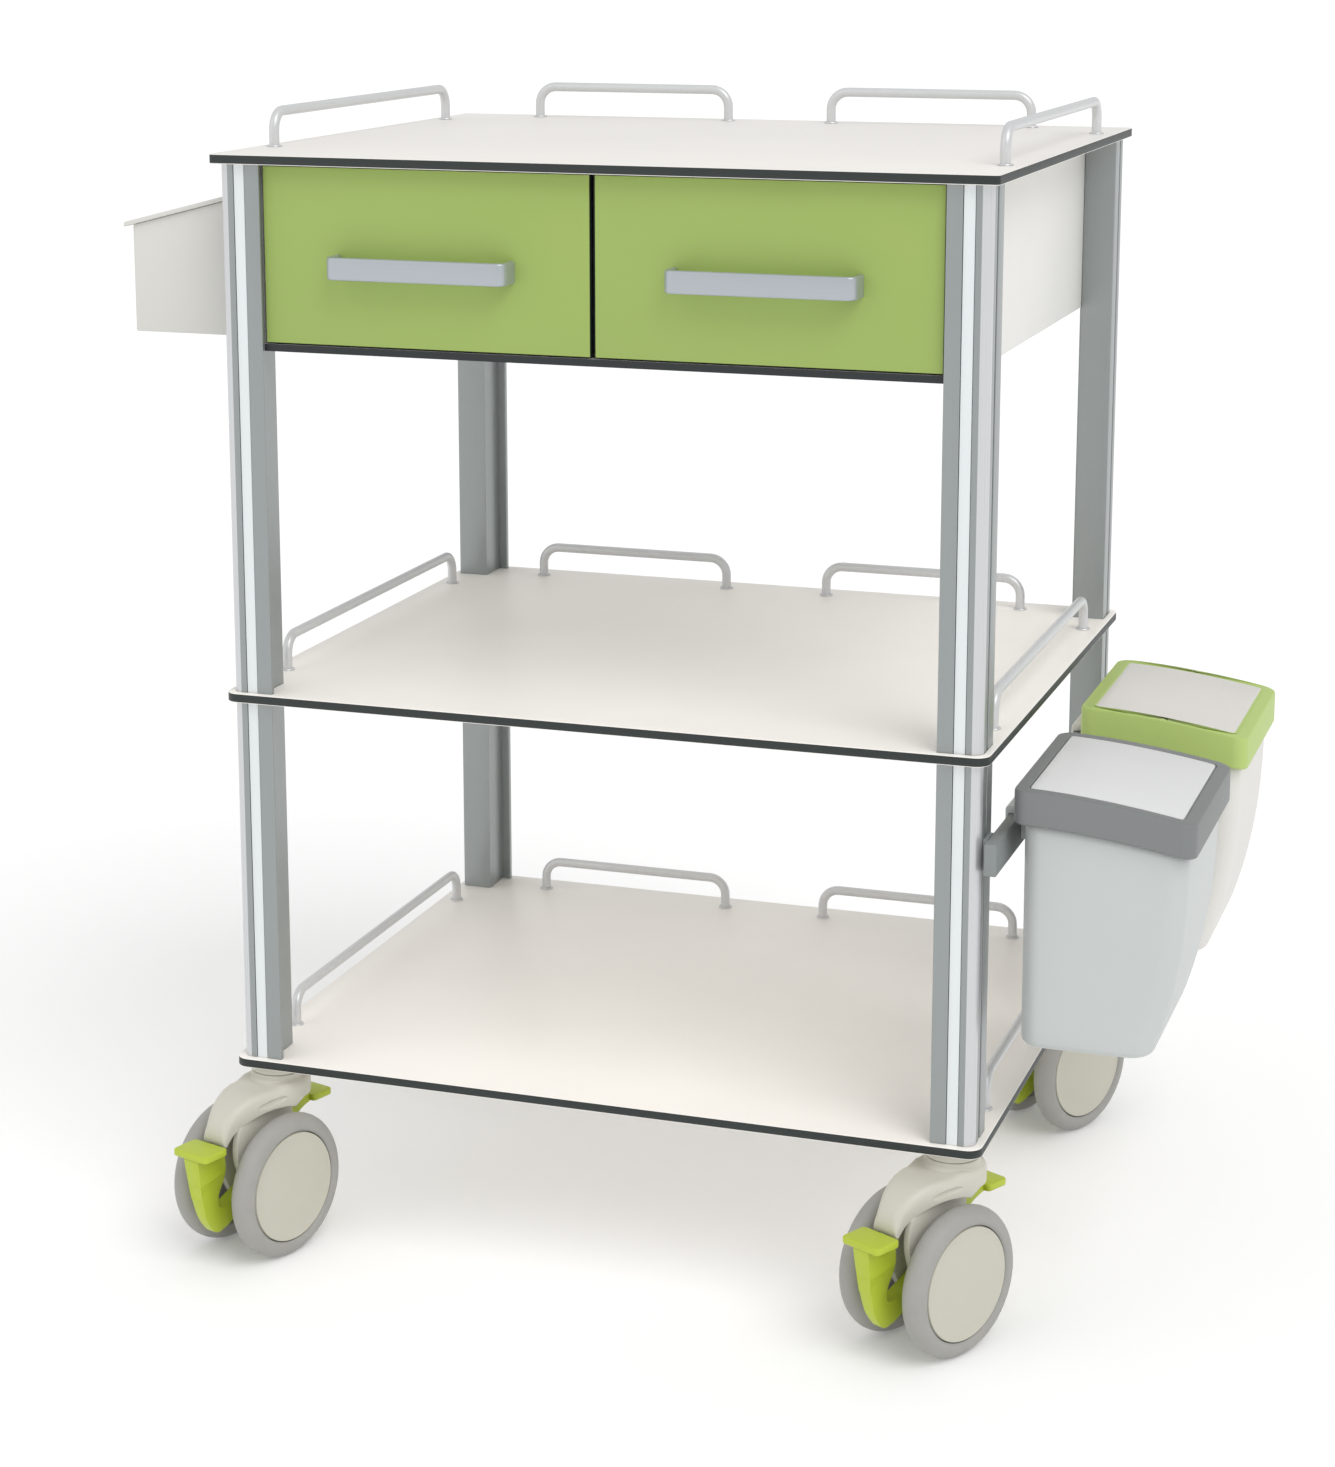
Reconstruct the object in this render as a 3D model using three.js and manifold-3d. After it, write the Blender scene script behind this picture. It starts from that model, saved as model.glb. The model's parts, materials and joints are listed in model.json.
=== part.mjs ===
// Medication cart: four aluminium posts carry three laminate boards, two drawers hang
// under the top board, a lidded side box is fixed on the left and two lidded bins hang
// on a rail on the right. It rolls on four braked twin-wheel casters.
// Millimetres, +Z up, drawers open towards -Y. The origin is on the floor, under the
// middle of the whole cart's outline.
import * as THREE from "three";
import { mergeVertices } from "three/addons/utils/BufferGeometryUtils.js";
import Module from "manifold-3d";

const wasm = await Module();
wasm.setup();

// Driving dimensions
const gap = 0.3; // between pieces that touch
const boardWide = 656;
const boardDeep = 555;
const boardThick = 8;
const shelfCorner = 12; // corner radius of the two shelves
const topCorner = 4;
const lowerBay = 316; // clear height over the bottom shelf
const upperBay = 443; // clear height over the middle shelf

const post = {
  inset: 6, // board edge to the post's outer faces
  flangeWide: 36,
  flangeThick: 5,
  bodyWide: 28,
  deep: 40,
  corner: 8,
  wall: 3.5,
  slotAt: 13, // outer face to the cover strip's slot
  slotWide: 10,
  slotDeep: 2.6,
  grooveAt: 17, // front face to the groove along the outer face
  grooveWide: 5,
  grooveDeep: 2,
};

const rail = {
  rod: 8.6,
  high: 33,
  bend: 16,
  backLong: 190,
  backSpace: 100, // between the two rails at the back of a board
  backInset: 28,
  sidePostSpace: 45.5, // the posts' opening to the middle of a side rail's legs
  sideInset: 16,
};

const housing = { high: 153, panelThick: 6, baseThick: 6, dividerThick: 4 };

const drawer = {
  frontThick: 8,
  frontGap: 4.6, // between the two fronts
  edgeGap: 1.5, // round the fronts
  trayBackGap: 58, // behind a tray
  trayHigh: 105,
  trayLift: 6, // over the housing's base
  wall: 2,
  slideGap: 12.7, // on each side of a tray, where its slides run
};

const handle = {
  wide: 156,
  high: 18.5,
  reach: 23.5,
  thick: 5,
  corner: 9,
  drop: 7, // below the middle of its front
};

const sideBox = {
  long: 290,
  frontInset: 62, // board's front edge to the box's front wall
  deep: 108,
  outerHigh: 90,
  innerHigh: 118,
  stand: 3, // posts to the box's back wall
  wall: 2.5,
  boss: 24,
  lidThick: 4,
  lidLap: 6,
  topDrop: 39, // top board's face to the box's upper edge
};

const binRail = {
  thick: 10,
  high: 26,
  stand: 4, // posts to the rail
  endInset: 2.5, // boards' edges to the rail's ends
  topDrop: 70, // middle shelf's face to the rail's upper edge
  pad: 22,
};

const bin = {
  long: 190, // along the rail
  wide: 145, // out from the cart
  lift: 39, // rail's upper edge to the rim's upper edge
  drop: 17, // the rim's fall from the cart side to the outer side
  rimHigh: 28,
  rimWall: 15,
  bucketHigh: 188,
  bucketInset: 7,
  footInset: 31, // bucket's outer side at the floor, from the rim
  wall: 2.5,
  lidThick: 4,
  lidLap: 4,
  hangGap: 6, // rail to the rim
  hookWide: 60,
  hookThick: 2.4,
  hookLong: 20, // overlap of the hook and the rail
  space: 81, // between the two rims
  pairAt: -20.5, // middle of the pair, along the rail
};

const caster = {
  inset: 28, // boards' edges to the swivel axis
  trail: 30,
  wheel: 125,
  wheelWide: 22,
  wheelGap: 45, // between the two wheels of a pair
  hub: 47, // radius of the hub cover
  headroom: 35, // tyres to the bottom shelf
  bore: 5.4,
  axle: 5,
  axleReach: 42,
  head: 28,
  headHigh: 19,
  headDrop: 11, // bottom shelf to the head's upper face
  cup: 26,
  cupThick: 7,
  stem: 10,
  stemLong: 17,
  play: 0.4, // round the stem and the axle, and beside the pedal
  noseHalf: 19, // half the width of the hood between the wheels
  cheek: 6,
  tyreClear: 4, // tyres to the hood
  pedalThick: 18,
  plateWide: 44,
  plateThick: 6,
  rearPlateWide: 28,
};
const casterTurn = { front_left: -17, front_right: -27, rear_left: -17, rear_right: -27 };

// Levels and planes that follow from the driving dimensions
const casterHigh = caster.wheel + caster.headroom;
const bottomTop = casterHigh + boardThick;
const middleUnder = bottomTop + lowerBay;
const middleTop = middleUnder + boardThick;
const topUnder = middleTop + upperBay;
const topTop = topUnder + boardThick;
const edgeX = boardWide / 2;
const edgeY = boardDeep / 2;
const postX = edgeX - post.inset; // the posts' outer faces
const postY = edgeY - post.inset;
const openX = postX - post.flangeWide; // half the opening between two posts
const openY = postY - post.deep;
const swivelX = edgeX - caster.inset;
const swivelY = edgeY - caster.inset;
const railHalf = rail.rod / 2;
const wheelHalf = caster.wheel / 2;

// Finishes
const finish = (color, roughness, metalness = 0) =>
  new THREE.MeshStandardMaterial({ color, roughness, metalness });
const laminate = finish(0xe9e7e2, 0.45);
const aluminium = finish(0xb4b8ba, 0.38, 0.9);
const railSteel = finish(0xc9cacb, 0.35, 0.6);
const panelWhite = finish(0xe2e1dd, 0.5);
const coreBlack = finish(0x17191a, 0.6);
const frontGreen = finish(0x9db65f, 0.5);
const traySteel = finish(0xd4d5d3, 0.5);
const satinSilver = finish(0xbfc3c8, 0.35, 0.8);
const boxGrey = finish(0xd3d2cd, 0.5);
const bucketWhite = finish(0xcdd1d1, 0.4);
const rimGrey = finish(0x7d8080, 0.5);
const rimGreen = finish(0xb5cf6b, 0.5);
const casterCream = finish(0xd2d0c2, 0.5);
const tyreGrey = finish(0xa6a5a1, 0.6);
const pedalGreen = finish(0xb9cf3c, 0.45);

const cart = new THREE.Group();

function add(name, geometry, material, parent = cart) {
  const mesh = new THREE.Mesh(geometry, material);
  mesh.name = name;
  parent.add(mesh);
  return mesh;
}

// Solids for cutting and joining
function solid(geometry) {
  const bare = geometry.clone();
  bare.deleteAttribute("normal");
  bare.deleteAttribute("uv");
  const merged = mergeVertices(bare, 1e-4);
  return new wasm.Manifold(
    new wasm.Mesh({
      numProp: 3,
      vertProperties: merged.attributes.position.array,
      triVerts: new Uint32Array(merged.index.array),
    }),
  );
}

function geometryOf(body) {
  const mesh = body.getMesh();
  return new THREE.BufferGeometry()
    .setAttribute("position", new THREE.BufferAttribute(mesh.vertProperties, 3))
    .setIndex(new THREE.BufferAttribute(mesh.triVerts, 1));
}

const join = (...geometries) =>
  geometryOf(geometries.map(solid).reduce((whole, next) => whole.add(next)));

const cut = (from, ...tools) =>
  geometryOf(tools.map(solid).reduce((whole, next) => whole.subtract(next), solid(from)));

// Basic forms
function block([x0, x1], [y0, y1], [z0, z1]) {
  return new THREE.BoxGeometry(x1 - x0, y1 - y0, z1 - z0).translate(
    (x0 + x1) / 2,
    (y0 + y1) / 2,
    (z0 + z1) / 2,
  );
}

function outline(points) {
  return new THREE.Shape(points.map(([x, y]) => new THREE.Vector2(x, y)));
}

function roundedRectangle([x0, x1], [y0, y1], r) {
  const shape = new THREE.Shape();
  shape.moveTo(x0 + r, y0);
  shape.lineTo(x1 - r, y0).absarc(x1 - r, y0 + r, r, -Math.PI / 2, 0);
  shape.lineTo(x1, y1 - r).absarc(x1 - r, y1 - r, r, 0, Math.PI / 2);
  shape.lineTo(x0 + r, y1).absarc(x0 + r, y1 - r, r, Math.PI / 2, Math.PI);
  shape.lineTo(x0, y0 + r).absarc(x0 + r, y0 + r, r, Math.PI, Math.PI * 1.5);
  return shape;
}

function prism(shape, [low, high], curveSegments = 6) {
  const settings = { depth: high - low, bevelEnabled: false, curveSegments };
  return new THREE.ExtrudeGeometry(shape, settings).translate(0, 0, low);
}

// A shape drawn in Y and Z, as long as its stretch of X
function prismAlongX(shape, [low, high], curveSegments = 6) {
  const turn = new THREE.Matrix4().set(0, 0, 1, 0, 1, 0, 0, 0, 0, 1, 0, 0, 0, 0, 0, 1);
  return prism(shape, [low, high], curveSegments).applyMatrix4(turn);
}

// A shape drawn in X and Z, as long as its stretch of Y
function prismAlongY(shape, [low, high], curveSegments = 6) {
  return prism(shape, [-high, -low], curveSegments).rotateX(Math.PI / 2);
}

function ring(profile, segments) {
  const closed = [...profile, profile[0]].map(([r, z]) => new THREE.Vector2(r, z));
  return new THREE.LatheGeometry(closed, segments).rotateX(Math.PI / 2);
}

function rod(radius, [low, high], segments = 20) {
  return new THREE.CylinderGeometry(radius, radius, high - low, segments)
    .rotateX(Math.PI / 2)
    .translate(0, 0, (low + high) / 2);
}

// Boards
function postOutline(sideX, sideY, growth = 0) {
  const place = (u, v) => new THREE.Vector2(sideX * (postX - u), sideY * (postY - v));
  const g = growth;
  const corner = [];
  const steps = 5;
  for (let i = 0; i <= steps; i += 1) {
    const angle = (Math.PI / 2) * (i / steps);
    const r = post.corner;
    corner.push(place(r - (r + g) * Math.cos(angle), r - (r + g) * Math.sin(angle)));
  }
  const { slotAt, slotWide, slotDeep, grooveAt, grooveWide, grooveDeep } = post;
  const slot = g
    ? []
    : [
        place(slotAt, 0),
        place(slotAt, slotDeep),
        place(slotAt + slotWide, slotDeep),
        place(slotAt + slotWide, 0),
      ];
  const groove = g
    ? []
    : [
        place(0, grooveAt + grooveWide),
        place(grooveDeep, grooveAt + grooveWide),
        place(grooveDeep, grooveAt),
        place(0, grooveAt),
      ];
  return new THREE.Shape([
    ...corner,
    ...slot,
    place(post.flangeWide + g, -g),
    place(post.flangeWide + g, post.flangeThick + g),
    place(post.bodyWide + g, post.flangeThick + g),
    place(post.bodyWide + g, post.deep + g),
    place(-g, post.deep + g),
    ...groove,
  ]);
}

const corners = [
  ["front_left", -1, -1],
  ["front_right", 1, -1],
  ["rear_left", -1, 1],
  ["rear_right", 1, 1],
];

function addBoards() {
  const board = (radius) => roundedRectangle([-edgeX, edgeX], [-edgeY, edgeY], radius);
  const holes = corners.map(([, sideX, sideY]) =>
    prism(postOutline(sideX, sideY, gap), [middleUnder - 1, middleTop + 1]),
  );
  add("bottom_shelf", prism(board(shelfCorner), [casterHigh, bottomTop]), laminate);
  const middle = prism(board(shelfCorner), [middleUnder, middleTop]);
  add("middle_shelf", cut(middle, ...holes), laminate);
  add("top_board", prism(board(topCorner), [topUnder, topTop]), laminate);
}

function addPosts() {
  const { wall, bodyWide, flangeThick, deep } = post;
  for (const [name, sideX, sideY] of corners) {
    const shape = postOutline(sideX, sideY);
    const [nearX, farX] = [postX - wall, postX - bodyWide + wall];
    const [nearY, farY] = [postY - flangeThick - wall, postY - deep + wall];
    const hollow = [
      [sideX * nearX, sideY * nearY],
      [sideX * nearX, sideY * farY],
      [sideX * farX, sideY * farY],
      [sideX * farX, sideY * nearY],
    ];
    shape.holes.push(outline(hollow));
    add(`post_${name}`, prism(shape, [bottomTop + gap, topUnder - gap]), aluminium);
  }
}

// Gallery rails: round rod with two bends, in a plane that stands on a board
class BentRod extends THREE.Curve {
  constructor(stations) {
    super();
    this.stations = stations;
  }
  station(t) {
    return this.stations[Math.round(t * (this.stations.length - 1))];
  }
  getPoint(t) {
    return this.station(t).at.clone();
  }
  getPointAt(t) {
    return this.getPoint(t);
  }
  getTangentAt(t) {
    return this.station(t).along.clone();
  }
  getSpacedPoints(divisions) {
    return this.getPoints(divisions);
  }
}

function railStations(long, high, bend) {
  const stations = [{ at: [-long / 2, 0], along: [0, 1] }];
  const steps = 5;
  for (const side of [-1, 1]) {
    for (let i = 0; i <= steps; i += 1) {
      const angle = ((side < 0 ? i : steps - i) / steps) * (Math.PI / 2);
      const across = side * (long / 2 - bend + bend * Math.cos(angle));
      const up = high - bend + bend * Math.sin(angle);
      stations.push({ at: [across, up], along: [Math.sin(angle), -side * Math.cos(angle)] });
    }
  }
  stations.push({ at: [long / 2, 0], along: [0, -1] });
  return stations;
}

function railGeometry(long, alongY) {
  const place = ([across, up]) =>
    alongY ? new THREE.Vector3(0, across, up) : new THREE.Vector3(across, 0, up);
  const stations = railStations(long, rail.high - railHalf, rail.bend).map(
    ({ at, along }) => ({ at: place(at), along: place(along) }),
  );
  const section = new THREE.Shape().absarc(0, 0, railHalf, 0, Math.PI * 2);
  return new THREE.ExtrudeGeometry(section, {
    steps: stations.length - 1,
    extrudePath: new BentRod(stations),
    curveSegments: 5,
  });
}

function addRails() {
  const backAt = (rail.backSpace + rail.backLong) / 2;
  const sideLong = 2 * (openY - rail.sidePostSpace);
  const levels = { bottom: bottomTop, middle: middleTop, top: topTop };
  for (const [level, floor] of Object.entries(levels)) {
    for (const [side, sign] of [["left", -1], ["right", 1]]) {
      const back = add(`${level}_rail_back_${side}`, railGeometry(rail.backLong), railSteel);
      back.position.set(sign * backAt, edgeY - rail.backInset, floor + gap);
      const flank = railGeometry(sideLong, true);
      add(`${level}_rail_side_${side}`, flank, railSteel).position.set(
        sign * (edgeX - rail.sideInset),
        0,
        floor + gap,
      );
    }
  }
}

// Drawer housing, between the posts and under the top board
const baseUnder = topUnder - housing.high;
const baseTop = baseUnder + housing.baseThick;
const frontFace = -(postY - post.flangeThick); // front faces of the drawers
const frontBack = frontFace + drawer.frontThick;
const panelOuter = postX - post.bodyWide - gap; // the side panels lie against the posts' inner sides
const backPanelY = postY - post.flangeThick - housing.panelThick;

function addHousing() {
  const { panelThick, dividerThick } = housing;
  const panelX = [panelOuter - panelThick, panelOuter];
  const baseX = panelOuter - panelThick - gap;
  const backX = openX - gap;
  const panelEnd = postY - post.flangeThick - gap; // the posts' flanges hold the panels' ends
  const baseY = [frontFace + gap, backPanelY - gap];
  const heights = [baseTop + gap, topUnder - gap];
  add("housing_base", block([-baseX, baseX], baseY, [baseUnder, baseTop]), coreBlack);
  for (const [side, sign] of [["left", -1], ["right", 1]]) {
    const x = panelX.map((value) => value * sign).sort((a, b) => a - b);
    const panel = block(x, [-panelEnd, panelEnd], [baseUnder, topUnder - gap]);
    add(`side_panel_${side}`, panel, panelWhite);
  }
  const backY = [backPanelY, backPanelY + panelThick];
  const back = block([-backX, backX], backY, [baseUnder, topUnder - gap]);
  add("housing_back", back, panelWhite);
  const dividerX = [-dividerThick / 2, dividerThick / 2];
  add("drawer_divider", block(dividerX, [frontBack + gap, baseY[1]], heights), coreBlack);
}

// Drawers: a green front, a steel tray and a bow handle each
function handleGeometry(middle) {
  const { wide, high, reach, thick, corner, drop } = handle;
  const back = frontFace - gap;
  const half = wide / 2;
  const inner = Math.max(corner - thick, 1);
  const bow = new THREE.Shape();
  const front = back - reach;
  bow.moveTo(middle - half, back);
  bow.lineTo(middle - half, front + corner);
  bow.absarc(middle - half + corner, front + corner, corner, Math.PI, Math.PI * 1.5);
  bow.lineTo(middle + half - corner, front);
  bow.absarc(middle + half - corner, front + corner, corner, -Math.PI / 2, 0);
  bow.lineTo(middle + half, back);
  bow.lineTo(middle + half - thick, back);
  bow.lineTo(middle + half - thick, front + thick + inner);
  bow.absarc(middle + half - thick - inner, front + thick + inner, inner, 0, -Math.PI / 2, true);
  bow.lineTo(middle - half + thick + inner, front + thick);
  bow.absarc(
    middle - half + thick + inner,
    front + thick + inner,
    inner,
    -Math.PI / 2,
    -Math.PI,
    true,
  );
  bow.lineTo(middle - half + thick, back);
  const floor = (baseTop + topUnder) / 2 - drop - high / 2;
  return prism(bow, [floor, floor + high]);
}

function addDrawers() {
  const { edgeGap, frontGap, trayBackGap, trayHigh, trayLift, wall, slideGap } = drawer;
  const frontZ = [baseTop + edgeGap, topUnder - edgeGap];
  const trayZ = [baseTop + trayLift, baseTop + trayLift + trayHigh];
  const trayY = [frontBack + gap, backPanelY - trayBackGap];
  for (const [side, sign] of [["left", -1], ["right", 1]]) {
    const span = (near, far) => [sign * near, sign * far].sort((a, b) => a - b);
    const frontX = span(frontGap / 2, openX - edgeGap);
    const trayX = span(housing.dividerThick / 2 + slideGap, openX - slideGap);
    const front = block(frontX, [frontFace, frontBack], frontZ);
    add(`drawer_front_${side}`, front, frontGreen);
    const inside = block(
      [trayX[0] + wall, trayX[1] - wall],
      [trayY[0] + wall, trayY[1] - wall],
      [trayZ[0] + wall, trayZ[1] + wall],
    );
    add(`drawer_tray_${side}`, cut(block(trayX, trayY, trayZ), inside), traySteel);
    const middle = (frontX[0] + frontX[1]) / 2;
    add(`drawer_handle_${side}`, handleGeometry(middle), satinSilver);
  }
}

// Side box on the left panel, with a sloping lid hinged along its upper edge
function addSideBox() {
  const { long, frontInset, deep, outerHigh, innerHigh, stand, wall, boss } = sideBox;
  const back = -(postX + stand);
  const outer = back - deep;
  const floor = topTop - sideBox.topDrop - innerHigh;
  const y = [-edgeY + frontInset, -edgeY + frontInset + long];
  const body = outline([
    [outer, floor],
    [back, floor],
    [back, floor + innerHigh],
    [outer, floor + outerHigh],
  ]);
  const slope = (innerHigh - outerHigh) / deep;
  const hollow = outline([
    [outer + wall, floor + wall],
    [back - wall, floor + wall],
    [back - wall, floor + innerHigh + boss],
    [outer + wall, floor + innerHigh + boss],
  ]);
  const bosses = [0.2, 0.8].map((share) => {
    const middle = y[0] + long * share;
    const bossZ = [floor + innerHigh / 2 - boss / 2, floor + innerHigh / 2 + boss / 2];
    const bossY = [middle - boss / 2, middle + boss / 2];
    return block([back - wall / 2, -panelOuter - gap], bossY, bossZ);
  });
  const shell = cut(prismAlongY(body, y), prismAlongY(hollow, [y[0] + wall, y[1] - wall]));
  add("side_box", join(shell, ...bosses), boxGrey);
  const { lidThick, lidLap } = sideBox;
  const lidFloor = floor + innerHigh + gap;
  const lid = outline([
    [back, lidFloor],
    [back, lidFloor + lidThick],
    [outer - lidLap, lidFloor + lidThick - slope * (deep + lidLap)],
    [outer - lidLap, lidFloor - slope * (deep + lidLap)],
  ]);
  const lidY = [y[0] - lidLap / 2, y[1] + lidLap / 2];
  add("side_box_lid", prismAlongY(lid, lidY), boxGrey);
}

// Bins on their rail
const railX = [postX + binRail.stand, postX + binRail.stand + binRail.thick];
const railTop = middleTop - binRail.topDrop;

function addBinRail() {
  const { high, endInset, pad, thick } = binRail;
  const end = edgeY - endInset;
  const z = [railTop - high, railTop];
  const bar = block(railX, [-end, end], z);
  const padMiddle = postY - post.deep / 2;
  const padSpan = (y) => [y - pad / 2, y + pad / 2];
  const pads = [-padMiddle, padMiddle].map((y) => {
    const fromPost = [postX + gap, railX[0] + thick / 2];
    return block(fromPost, padSpan(y), z);
  });
  add("bin_rail", join(bar, ...pads), rimGrey);
}

function addBin(name, side, rimFinish) {
  const { long, wide, drop, rimHigh, rimWall, wall, lidThick, lidLap } = bin;
  const top = railTop + bin.lift;
  const middle = bin.pairAt + (side * (long + bin.space)) / 2;
  const slope = drop / wide;
  const near = railX[1] + bin.hangGap;
  const far = near + wide;
  const fall = (x) => slope * (x - near);
  const y = [middle - long / 2, middle + long / 2];

  // Rim: a sloping collar with a rebate that the lid lies in
  const band = (x0, x1, low, high) =>
    outline([
      [x0, top - low - fall(x0)],
      [x1, top - low - fall(x1)],
      [x1, top - high - fall(x1)],
      [x0, top - high - fall(x0)],
    ]);
  const opening = prismAlongY(band(near + rimWall, far - rimWall, rimHigh + wall, -wall), [
    y[0] + rimWall,
    y[1] - rimWall,
  ]);
  const restX = [near + rimWall - lidLap, far - rimWall + lidLap];
  const restY = [y[0] + rimWall - lidLap, y[1] - rimWall + lidLap];
  const rebate = prismAlongY(band(...restX, lidThick + gap, -wall), restY);
  const collar = prismAlongY(band(near, far, rimHigh, 0), y);
  add(`bin_rim_${name}`, cut(collar, opening, rebate), rimFinish);
  const lidShape = band(restX[0] + 1, restX[1] - 1, lidThick, 0);
  add(`bin_lid_${name}`, prismAlongY(lidShape, [restY[0] + 1, restY[1] - 1]), panelWhite);

  // Bucket: straight on the cart side, bellied on the outer side
  const { bucketInset, bucketHigh, footInset, hookWide, hookThick, hookLong } = bin;
  const rimUnder = top - rimHigh - gap;
  const bellied = (inset, floor) => {
    const shape = new THREE.Shape();
    const inner = near + bucketInset + inset;
    const outerTop = far - bucketInset - inset;
    const outerFoot = far - footInset - inset;
    shape.moveTo(inner + 3, floor);
    shape.lineTo(outerFoot - 6, floor);
    shape.bezierCurveTo(
      outerFoot + 4,
      floor,
      outerTop,
      floor + bucketHigh * 0.45,
      outerTop,
      rimUnder - fall(outerTop) + inset,
    );
    shape.lineTo(inner, rimUnder - fall(inner) + inset);
    return shape;
  };
  const floor = rimUnder - bucketHigh;
  const bucketY = [y[0] + bucketInset, y[1] - bucketInset];
  const hollowY = [bucketY[0] + wall, bucketY[1] - wall];
  const shell = cut(
    prismAlongY(bellied(0, floor), bucketY, 8),
    prismAlongY(bellied(wall, floor + wall), hollowY, 8),
  );
  const hookY = [middle - hookWide / 2, middle + hookWide / 2];
  const hookZ = [railTop - hookLong, rimUnder - fall(near + bucketInset) - 1];
  const plate = block([railX[1] + gap, near + bucketInset + wall / 2], hookY, hookZ);
  const overRail = [railX[0] - gap - hookThick, railX[1] + bin.hangGap];
  const bridge = block(overRail, hookY, [railTop + gap, hookZ[1]]);
  const lip = block([overRail[0], railX[0] - gap], hookY, hookZ);
  add(`bin_bucket_${name}`, join(shell, plate, bridge, lip), bucketWhite);
}

// Casters. Each is drawn with its swivel axis on Z and rolling towards -Y. Side views
// are drawn round the axle, forwards and up, for a wheel of the size named here.
const drawnWheel = 125;
const headTop = casterHigh - caster.headDrop;
const headFrom = headTop - caster.headHigh;

function roundAxle([ahead, up]) {
  const scale = caster.wheel / drawnWheel;
  return [-caster.trail - ahead * scale, wheelHalf + up * scale];
}

const sideView = (points) => outline(points.map(roundAxle));

// A foot plate between two distances ahead of the axle
function footPlate(wide, [rear, front], up) {
  const [frontY, low] = roundAxle([front, up]);
  const [rearY] = roundAxle([rear, up]);
  return block([-wide / 2, wide / 2], [frontY, rearY], [low, low + caster.plateThick]);
}

function axleRod(radius, half) {
  return rod(radius, [-half, half]).rotateY(Math.PI / 2).translate(0, -caster.trail, wheelHalf);
}

function wheelGeometry() {
  const { wheelWide, hub, bore } = caster;
  const half = wheelWide / 2;
  const hubFace = half - 1.5;
  const shoulder = 4;
  const bead = 6; // width of the ring round the hub cover
  const profile = [
    [bore, -hubFace],
    [hub, -hubFace],
    [hub + bead, -half],
    [wheelHalf - shoulder, -half + shoulder],
    [wheelHalf, 0],
    [wheelHalf - shoulder, half - shoulder],
    [hub + bead, half],
    [hub, hubFace],
    [bore, hubFace],
  ];
  return ring(profile, 32).rotateY(Math.PI / 2);
}

function housingGeometry() {
  const { trail, head, stem, play, cheek, pedalThick, noseHalf } = caster;
  const fender = wheelHalf + caster.tyreClear;
  const underside = [];
  for (let degrees = 46; degrees <= 86; degrees += 10) {
    const angle = THREE.MathUtils.degToRad(degrees);
    underside.push([-trail - fender * Math.cos(angle), wheelHalf + fender * Math.sin(angle)]);
  }
  const nose = [
    [16, 85],
    [30, 79],
    [41, 68],
    [50, 50],
  ];
  const overStem = stem / 2;
  const hood = outline([
    [overStem, headTop],
    ...nose.map(roundAxle),
    ...underside,
    [overStem, headFrom],
  ]);
  const inner = pedalThick / 2 + play;
  const cheekShape = sideView([
    [-31, 67],
    [35, 59],
    [41, 39],
    [36, 17],
    [21, -13],
    [9, -19],
    [-9, -19],
    [-19, -8],
    [-29, 34],
  ]);
  const cheeks = [-1, 1].map((side) => {
    const span = [side * inner, side * (inner + cheek)].sort((a, b) => a - b);
    return prismAlongX(cheekShape, span);
  });
  const body = join(
    rod(head, [headFrom, headTop], 28),
    prismAlongX(hood, [-noseHalf, noseHalf]),
    ...cheeks,
    axleRod(caster.axle, caster.axleReach),
  );
  const socket = rod(stem + play, [headTop - caster.stemLong, headTop + 1], 24);
  return cut(body, socket);
}

function pedalGeometry() {
  const { pedalThick, plateWide, rearPlateWide, axle, play } = caster;
  const half = pedalThick / 2;
  const web = sideView([
    [56, 42],
    [79, 42],
    [76, 22],
    [71, -2],
    [64, -18],
    [55, -29],
    [45, -27],
    [35, -17],
    [15, -11],
    [0, -13],
    [-13, -5],
    [-24, 21],
    [-42, 45],
    [-62, 51],
    [-62, 57],
    [-36, 55],
    [-12, 30],
    [5, 14],
    [35, 8],
    [50, 11],
    [54, 26],
  ]);
  const front = footPlate(plateWide, [51, 83], 41.5);
  const rear = footPlate(rearPlateWide, [-84, -60], 51);
  return cut(join(prismAlongX(web, [-half, half]), front, rear), axleRod(axle + play, half + 1));
}

function mountGeometry() {
  const { cup, cupThick, stem, stemLong } = caster;
  const plate = rod(cup, [casterHigh - gap - cupThick, casterHigh - gap], 28);
  const pin = rod(stem, [headTop - stemLong + gap, casterHigh - gap - cupThick / 2], 24);
  return join(plate, pin);
}

function addCaster(name, sideX, sideY) {
  const unit = new THREE.Group();
  unit.position.set(sideX * swivelX, sideY * swivelY, 0);
  unit.rotation.z = THREE.MathUtils.degToRad(casterTurn[name]);
  cart.add(unit);
  add(`caster_mount_${name}`, mountGeometry(), casterCream, unit);
  add(`caster_housing_${name}`, housingGeometry(), casterCream, unit);
  add(`caster_pedal_${name}`, pedalGeometry(), pedalGreen, unit);
  const offset = (caster.wheelGap + caster.wheelWide) / 2;
  for (const [side, sign] of [["left", -1], ["right", 1]]) {
    const wheel = add(`caster_wheel_${name}_${side}`, wheelGeometry(), tyreGrey, unit);
    wheel.position.set(sign * offset, -caster.trail, wheelHalf);
    if (sign < 0) wheel.rotation.z = Math.PI;
  }
}

addBoards();
addPosts();
addRails();
addHousing();
addDrawers();
addSideBox();
addBinRail();
addBin("grey", -1, rimGrey);
addBin("green", 1, rimGreen);
for (const [name, sideX, sideY] of corners) addCaster(name, sideX, sideY);

// Stands the cart with the middle of its outline over the origin
const reach = new THREE.Box3().setFromObject(cart, true);
const middle = reach.getCenter(new THREE.Vector3());
cart.position.set(-middle.x, -middle.y, 0);

export default cart;
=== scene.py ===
import json
import math

import bmesh
import bpy
from mathutils import Matrix, Vector


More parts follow.
